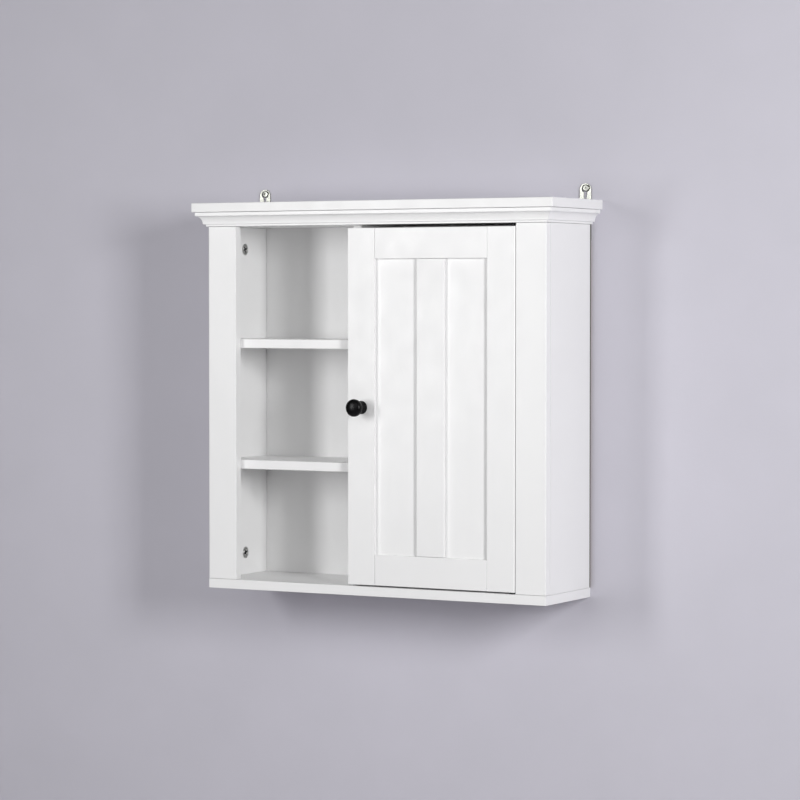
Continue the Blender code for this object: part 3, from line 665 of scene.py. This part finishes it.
def build_hinge():
    """Pins, bushes and washer of the concealed pivot."""
    for end in ("top", "bottom"):
        node = "hinge_pin_" + end
        low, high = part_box(node)
        radius = (high[X] - low[X]) / 2
        x, y, _ = middle_of(node)
        outline = rod_outline(radius, high[Z] - low[Z], PIN_CHAMFER)
        stand_in(node + "_ground", moved(turned(outline, 48), (x, y, low[Z]), (0, 0, 1)), node,
                 BLACKENED_STEEL_AND_SHADE, 25.0)
    bore = BUSH_BORE_RADIUS
    for node in ("hinge_bush_top", "hinge_bush_bottom", "hinge_washer"):
        low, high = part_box(node)
        radius = (high[X] - low[X]) / 2
        x, y, _ = middle_of(node)
        tall = high[Z] - low[Z]
        outline = eased([(bore, 0.0), (radius, 0.0), (radius, tall), (bore, tall)], BUSH_EASE, 3, True)
        stand_in(node + "_moulded", moved(turned(outline, 64, True), (x, y, low[Z]), (0, 0, 1)), node)


PIN_COLLAR_RADIUS = 0.0034
PIN_COLLAR = 0.0007


def build_shelf_pins():
    for side, way in (("left", 1), ("right", -1)):
        panel_low, panel_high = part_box("divider_panel" if side == "left" else "side_panel_right")
        face = panel_high[X] if side == "left" else panel_low[X]
        for place in ("front", "rear"):
            node = "shelf_pin_%s_%s" % (side, place)
            low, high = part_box(node)
            radius = (high[Z] - low[Z]) / 2
            _, y, z = middle_of(node)
            inside = low[X] if way > 0 else high[X]
            seat = abs(face - inside) + 0.0001
            length = high[X] - low[X]
            outline = [(0.0, 0.0), (radius, 0.0), (radius, seat), (PIN_COLLAR_RADIUS, seat),
                       (PIN_COLLAR_RADIUS, seat + PIN_COLLAR), (radius, seat + PIN_COLLAR),
                       (radius, length), (0.0, length)]
            mesh_data = turned(eased(outline, 0.0004, 4), 56)
            stand_in(node + "_collared", moved(mesh_data, (inside, y, z), (way, 0, 0)), node,
                     sharp_angle=30.0)


def build_rests():
    for end in ("top", "bottom"):
        node = "door_rest_" + end
        low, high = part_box(node)
        radius = (high[X] - low[X]) / 2
        x, _, z = middle_of(node)
        tall = high[Y] - low[Y]
        outline = [(0.0, 0.0), (radius, 0.0), (radius * 0.97, tall * 0.55), (radius * 0.62, tall * 0.94),
                   (0.0, tall)]
        mesh_data = turned(eased(outline, 0.0012, 5), 64)
        stand_in(node + "_dome", moved(mesh_data, (x, high[Y], z), (0, -1, 0)), node, sharp_angle=60.0)


# ---------------------------------------------------------------- cam fittings
CAM_RIM = 0.0012
CAM_WEB_DEPTH = 0.0040
CAM_HUB_RADIUS = 0.0046
CAM_HUB_SUNK = 0.00015
# depth below the cam's face past which the slot's faces are painted black as shade
CAM_PAINTED_SHADE_BELOW = 0.0005
CAM_SLOT = (0.0084, 0.0024, 0.0074)
CAM_NOTCH_RADIUS = 0.0034
CAM_BALL_RADIUS = 0.0026
CAM_NECK_RADIUS = 0.0017


def cam_outline(radius, depth):
    """From the blind end to the face: a cup with a raised rim, a sunk web and a hub."""
    face = depth
    web = face - CAM_WEB_DEPTH
    hub = face - CAM_HUB_SUNK
    inner = radius - CAM_RIM
    corners = [(0.0, 0.0), (radius - 0.0002, 0.0), (radius - 0.0002, face), (inner, face),
               (inner, web), (CAM_HUB_RADIUS + 0.0002, web), (CAM_HUB_RADIUS, hub), (0.0, hub)]
    return eased(corners, 0.00022, 3)


def build_cams():
    """Cam locks with a cross slot and a notch for the bolt, the slot's deep faces painted black as
    shade; and their bolts.
    """
    for side, sign in (("left", -1), ("right", 1)):
        for end, way in (("top", 1), ("bottom", -1)):
            node = "cam_lock_%s_%s" % (side, end)
            low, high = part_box(node)
            radius = (high[Z] - low[Z]) / 2
            depth = high[X] - low[X]
            _, y, z = middle_of(node)
            face = high[X] if side == "left" else low[X]
            blind = low[X] if side == "left" else high[X]
            outward = (-sign, 0, 0)
            body = moved(turned(cam_outline(radius, depth), 72), (blind, y, z), outward)
            cutters = []
            for turn in (0.35, 0.35 + math.pi / 2):
                blade = bmesh.new()
                at = Matrix.Translation((face, y, z)) @ Matrix.Rotation(turn, 4, "X")
                size = Matrix.Diagonal((2 * CAM_SLOT[2], CAM_SLOT[1], CAM_SLOT[0], 1.0))
                bmesh.ops.create_cube(blade, size=1.0, matrix=at @ size)
                cutters.append(blade)
            notch = bmesh.new()
            at = Matrix.Translation((face, y, z + way * radius)) @ Matrix.Rotation(math.pi / 2, 4, "Y")
            bmesh.ops.create_cone(notch, cap_ends=True, segments=32, radius1=CAM_NOTCH_RADIUS,
                                  radius2=CAM_NOTCH_RADIUS, depth=2 * (depth - 0.0015), matrix=at)
            cutters.append(notch)
            made = stand_in(node + "_cast", carve(body, *cutters), node, CAST_ZINC, 32.0)
            # faces deep in the cross slot take the blackened steel material as painted shade of the
            # recess
            made.data.materials.append(BLACKENED_STEEL_AND_SHADE)
            for polygon in made.data.polygons:
                sunk = abs(face - polygon.center.x)
                reach = math.hypot(polygon.center.y - y, polygon.center.z - z)
                if sunk > CAM_PAINTED_SHADE_BELOW and reach < CAM_HUB_RADIUS - CAM_HUB_SUNK:
                    polygon.material_index = 1

            bolt = "cam_bolt_%s_%s" % (side, end)
            low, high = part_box(bolt)
            shank = (high[X] - low[X]) / 2
            length = high[Z] - low[Z]
            x, y, _ = middle_of(bolt)
            outline = [(0.0, 0.0), (CAM_BALL_RADIUS * 0.7, 0.0), (CAM_BALL_RADIUS, 0.0009),
                       (CAM_BALL_RADIUS, 0.0022), (CAM_NECK_RADIUS, 0.0030), (CAM_NECK_RADIUS, 0.0058),
                       (shank, 0.0068), (shank, length - 0.0080)]
            rows = eased(outline, 0.0004, 4)
            core = thread_rows(shank * 0.99, 0.0014, 0.0, 0.0078, 0.0)
            rows += [(reach, length - 0.0078 + height) for reach, height in core[1:]]
            rows.append((0.0, length))
            start = low[Z] if way > 0 else high[Z]
            stand_in(bolt + "_threaded", moved(turned(rows, 36), (x, y, start), (0, 0, way)), bolt,
                     sharp_angle=42.0)


# ---------------------------------------------------------------- hanger plates
PLATE_EASE = 0.0002
KEYHOLE_RADIUS = 0.0052
KEYHOLE_SLOT = 0.0044
KEYHOLE_SLOT_END = -0.0135
COUNTERSINK = (0.0018, 0.0036)


def keyhole(x):
    """Outline of the round hole with the slot that runs down from it."""
    half = KEYHOLE_SLOT / 2
    meets = math.degrees(math.asin(half / KEYHOLE_RADIUS))
    points = arc((x, 0.0), KEYHOLE_RADIUS, -90 + meets, 270 - meets, 56)
    points += arc((x, KEYHOLE_SLOT_END + half), half, 180, 360, 16)
    return points


def build_plates():
    for side in ("left", "right"):
        node = "hanger_plate_" + side
        low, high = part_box(node)
        x = (low[X] + high[X]) / 2
        half = (high[X] - low[X]) / 2
        outline = arc((x, high[Z] - half), half, 0, 180, 64)
        outline += eased([(x - half, low[Z] + 0.02), (x - half, low[Z]), (x + half, low[Z]),
                          (x + half, low[Z] + 0.02)], 0.0016, 6)[1:-1]
        cutters = [prism(keyhole(x), low[Y] - 0.001, high[Y] + 0.001)]
        for number in ("1", "2"):
            at = middle_of("hanger_screw_%s_%s" % (side, number))
            at[Y] = low[Y] - 0.0005
            slope = (COUNTERSINK[1] - COUNTERSINK[0]) / (high[Y] - low[Y])
            deep = high[Y] - low[Y] + 0.001
            start = COUNTERSINK[0] - slope * 0.0005
            cone = [(0.0, 0.0), (start, 0.0), (start + slope * deep, deep), (0.0, deep)]
            cutters.append(moved(turned(cone, 56), at, (0, 1, 0)))
        plate = carve(prism(outline, low[Y], high[Y]), *cutters)
        made = stand_in(node + "_pressed", plate, node, sharp_angle=30.0)
        soften_edges(made, PLATE_EASE, 2, 30.0)


# ---------------------------------------------------------------- small added pieces
POLE_THICKNESS = 0.0009
POLE_PROUD = 0.0004
NAIL_HEAD_RADIUS = 0.0013
NAIL_HEAD_HEIGHT = 0.0004
NAIL_INSET = 0.006
NAIL_SPACING = 0.075


def build_pole_plates():
    """Two steel plates beside the magnet, a little proud of the catch's front."""
    low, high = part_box("catch_magnet")
    mesh_data = bmesh.new()
    for near, far in ((low[X], low[X] + POLE_THICKNESS), (high[X] - POLE_THICKNESS, high[X])):
        corner_low = Vector((near, low[Y] - POLE_PROUD, low[Z] + 0.0005))
        corner_high = Vector((far, low[Y] + 0.001, high[Z] - 0.0005))
        at = Matrix.Translation((corner_low + corner_high) / 2)
        bmesh.ops.create_cube(mesh_data, size=1.0,
                              matrix=at @ Matrix.Diagonal((*(corner_high - corner_low), 1.0)))
    made = piece("catch_pole_plates", mesh_data, "bright_steel", "cabinet")
    soften_edges(made, 0.0002, 2)


def build_back_nails():
    """Flat nail heads on the back board's rear face, down the sides and the divider and along the two
    shelves.
    """
    low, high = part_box("back_panel")
    spots = []
    tall = high[Z] - low[Z] - 2 * NAIL_INSET
    wide = high[X] - low[X] - 2 * NAIL_INSET
    rows = round(tall / NAIL_SPACING)
    for step in range(1, rows):
        z = low[Z] + NAIL_INSET + tall * step / rows
        spots += [(low[X] + NAIL_INSET, z), (high[X] - NAIL_INSET, z)]
    shelf_height = middle_of("open_shelf_lower")[Z], middle_of("open_shelf_upper")[Z]
    for z in shelf_height:
        spots += [(low[X] + wide * part, z) for part in (0.12, 0.24, 0.36)]
    divider = middle_of("divider_panel")[X]
    spots += [(divider, low[Z] + tall * part) for part in (0.16, 0.42, 0.62, 0.86)]
    mesh_data = bmesh.new()
    for x, z in spots:
        head = [(0.0, 0.0), (NAIL_HEAD_RADIUS, 0.0), (NAIL_HEAD_RADIUS, NAIL_HEAD_HEIGHT * 0.6),
                (NAIL_HEAD_RADIUS * 0.8, NAIL_HEAD_HEIGHT), (0.0, NAIL_HEAD_HEIGHT)]
        nail = moved(turned(head, 20), (x, high[Y] - 0.00005, z), (0, 1, 0))
        scratch = bpy.data.meshes.new("nail")
        nail.to_mesh(scratch)
        nail.free()
        mesh_data.from_mesh(scratch)
        bpy.data.meshes.remove(scratch)
    piece("back_panel_nails", mesh_data, "zinc_fitting", "cabinet")


build_crown()
build_knob()
build_screws()
build_hinge()
build_shelf_pins()
build_rests()
build_cams()
build_plates()
build_pole_plates()
build_back_nails()
finish_nodes()


# ---------------------------------------------------------------- stage
WALL_SIZE = 4.0
WALL_Y = 0.0010
FLOOR_DROP = 1.30
FLOOR_DEPTH = 2.1
WALL_SCREW_HEAD = 0.0046
WALL_SCREW_PROUD = 0.0050
WALL_SCREW_SHIFT = (0.0014, 0.0007)


def one_sided(shader):
    """Seen from behind, the surface lets the camera through, so a stage never hides the object."""
    tree = shader.material.node_tree
    geometry = tree.nodes.new("ShaderNodeNewGeometry")
    clear = tree.nodes.new("ShaderNodeBsdfTransparent")
    mix = tree.nodes.new("ShaderNodeMixShader")
    out = tree.nodes["Material Output"]
    tree.links.new(geometry.outputs["Backfacing"], mix.inputs["Fac"])
    tree.links.new(shader.shader.outputs["BSDF"], mix.inputs[1])
    tree.links.new(clear.outputs["BSDF"], mix.inputs[2])
    tree.links.new(mix.outputs["Shader"], out.inputs["Surface"])
    return shader.material


def stage_plane(name, depth, location, rotation, material):
    """A flat stage surface, as wide as the wall and this deep."""
    mesh_data = bmesh.new()
    bmesh.ops.create_grid(mesh_data, x_segments=1, y_segments=1, size=0.5,
                          matrix=Matrix.Diagonal((WALL_SIZE, depth, 1.0, 1.0)))
    plane = link_object(name, mesh_data)
    plane.location = location
    plane.rotation_euler = rotation
    plane.data.materials.append(material)
    return plane


def build_stage():
    """The wall the cabinet hangs on and a pale floor, both only as large as the lamps reach."""
    wall = Shader("wall_paint", (0.590, 0.576, 0.640), 0.85)
    wall.link(wall.mix(wall.spread(wall.noise(9.0, 4.0), 0.0, 1.0),
                       (0.582, 0.569, 0.632), (0.598, 0.583, 0.649)), "Base Color")
    wall.bump(wall.noise(260.0, 2.0), 0.00008)
    plane = stage_plane("wall", WALL_SIZE, (0, WALL_Y, 0), (math.pi / 2, 0, 0), one_sided(wall))
    # the rear lamp stands behind the wall and lights the back of the cabinet
    plane.visible_shadow = False
    floor = Shader("floor_paint", (0.62, 0.61, 0.62), 0.8)
    floor.bump(floor.noise(180.0, 3.0), 0.0001)
    stage_plane("floor", FLOOR_DEPTH, (0, -FLOOR_DEPTH / 2, -FLOOR_DROP), (0, 0, 0), one_sided(floor))


def build_wall_screws():
    """The two screws in the wall that the plates hang on, part of the stage."""
    for side in ("left", "right"):
        x = middle_of("hanger_plate_" + side)[X]
        dome = WALL_SCREW_HEAD * 0.8
        under = WALL_SCREW_PROUD - 0.0022
        outline = [(0.0, 0.0), (0.0022, 0.0), (0.0022, under), (WALL_SCREW_HEAD, under),
                   (WALL_SCREW_HEAD, under + 0.0007), (dome, WALL_SCREW_PROUD - 0.0003),
                   (0.0, WALL_SCREW_PROUD)]
        body = carve(turned(eased(outline, 0.0005, 4), 56),
                     *cross_cutters(WALL_SCREW_HEAD, 0.0018, WALL_SCREW_PROUD))
        at = (x + WALL_SCREW_SHIFT[0], WALL_Y, WALL_SCREW_SHIFT[1])
        made = finished("wall_screw_" + side, moved(body, at, (0, -1, 0)))
        made.data.materials.append(MATERIALS["bright_steel"])


# ---------------------------------------------------------------- light and camera
LIGHT_AIM = Vector((0.0, -0.1, -0.25))
SOFTBOXES = (
    # name, azimuth and elevation in degrees, distance, width, height, watts
    ("key_right", 56.0, 9.0, 2.4, 0.37, 0.70, 34.6),
    ("key_left", -28.0, 8.0, 1.9, 0.38, 0.86, 12.3),
    ("fill_front", 0.0, 11.0, 2.6, 1.15, 1.15, 5.6),
    ("fill_high", 12.0, 34.0, 2.6, 1.40, 1.40, 5.6),
    ("rear", 200.0, 12.0, 1.7, 0.60, 0.60, 13.0),
)
AMBIENT = 0.022
BACKGROUND = 0.80


def softbox(name, azimuth, elevation, distance, width, height, power):
    """A soft rectangular lamp; azimuth 0 is straight in front and grows to the right."""
    turn = math.radians(azimuth)
    rise = math.radians(elevation)
    away = Vector((math.sin(turn) * math.cos(rise), -math.cos(turn) * math.cos(rise), math.sin(rise)))
    data = bpy.data.lights.new(name, "AREA")
    data.shape = "RECTANGLE"
    data.size = width
    data.size_y = height
    data.energy = power
    lamp = bpy.data.objects.new(name, data)
    lamp.location = LIGHT_AIM + away * distance
    lamp.rotation_euler = (-away).to_track_quat("-Z", "Y").to_euler()
    lamp.visible_camera = False
    bpy.context.scene.collection.objects.link(lamp)


def build_light():
    """Soft lamps, and a room that is pale to look at but adds little light of its own."""
    for numbers in SOFTBOXES:
        softbox(*numbers)
    world = bpy.data.worlds.new("room")
    world.use_nodes = True
    tree = world.node_tree
    background = tree.nodes["Background"]
    background.inputs["Color"].default_value = (1.0, 0.99, 1.0, 1.0)
    path = tree.nodes.new("ShaderNodeLightPath")
    level = tree.nodes.new("ShaderNodeMapRange")
    level.inputs["To Min"].default_value = AMBIENT
    level.inputs["To Max"].default_value = BACKGROUND
    tree.links.new(path.outputs["Is Camera Ray"], level.inputs["Value"])
    tree.links.new(level.outputs["Result"], background.inputs["Strength"])
    bpy.context.scene.world = world
    bpy.context.scene.view_settings.view_transform = "Standard"


CAMERA_AT = (1.9097, -3.4880, -0.1386)
CAMERA_TURN = 29.10
CAMERA_TILT = -1.956
LENS = 135.6


def build_camera():
    data = bpy.data.cameras.new("camera")
    data.lens = LENS
    camera = bpy.data.objects.new("camera", data)
    camera.location = CAMERA_AT
    camera.rotation_euler = (math.radians(90 + CAMERA_TILT), 0, math.radians(CAMERA_TURN))
    bpy.context.scene.collection.objects.link(camera)
    bpy.context.scene.camera = camera


build_stage()
build_wall_screws()
build_light()
build_camera()
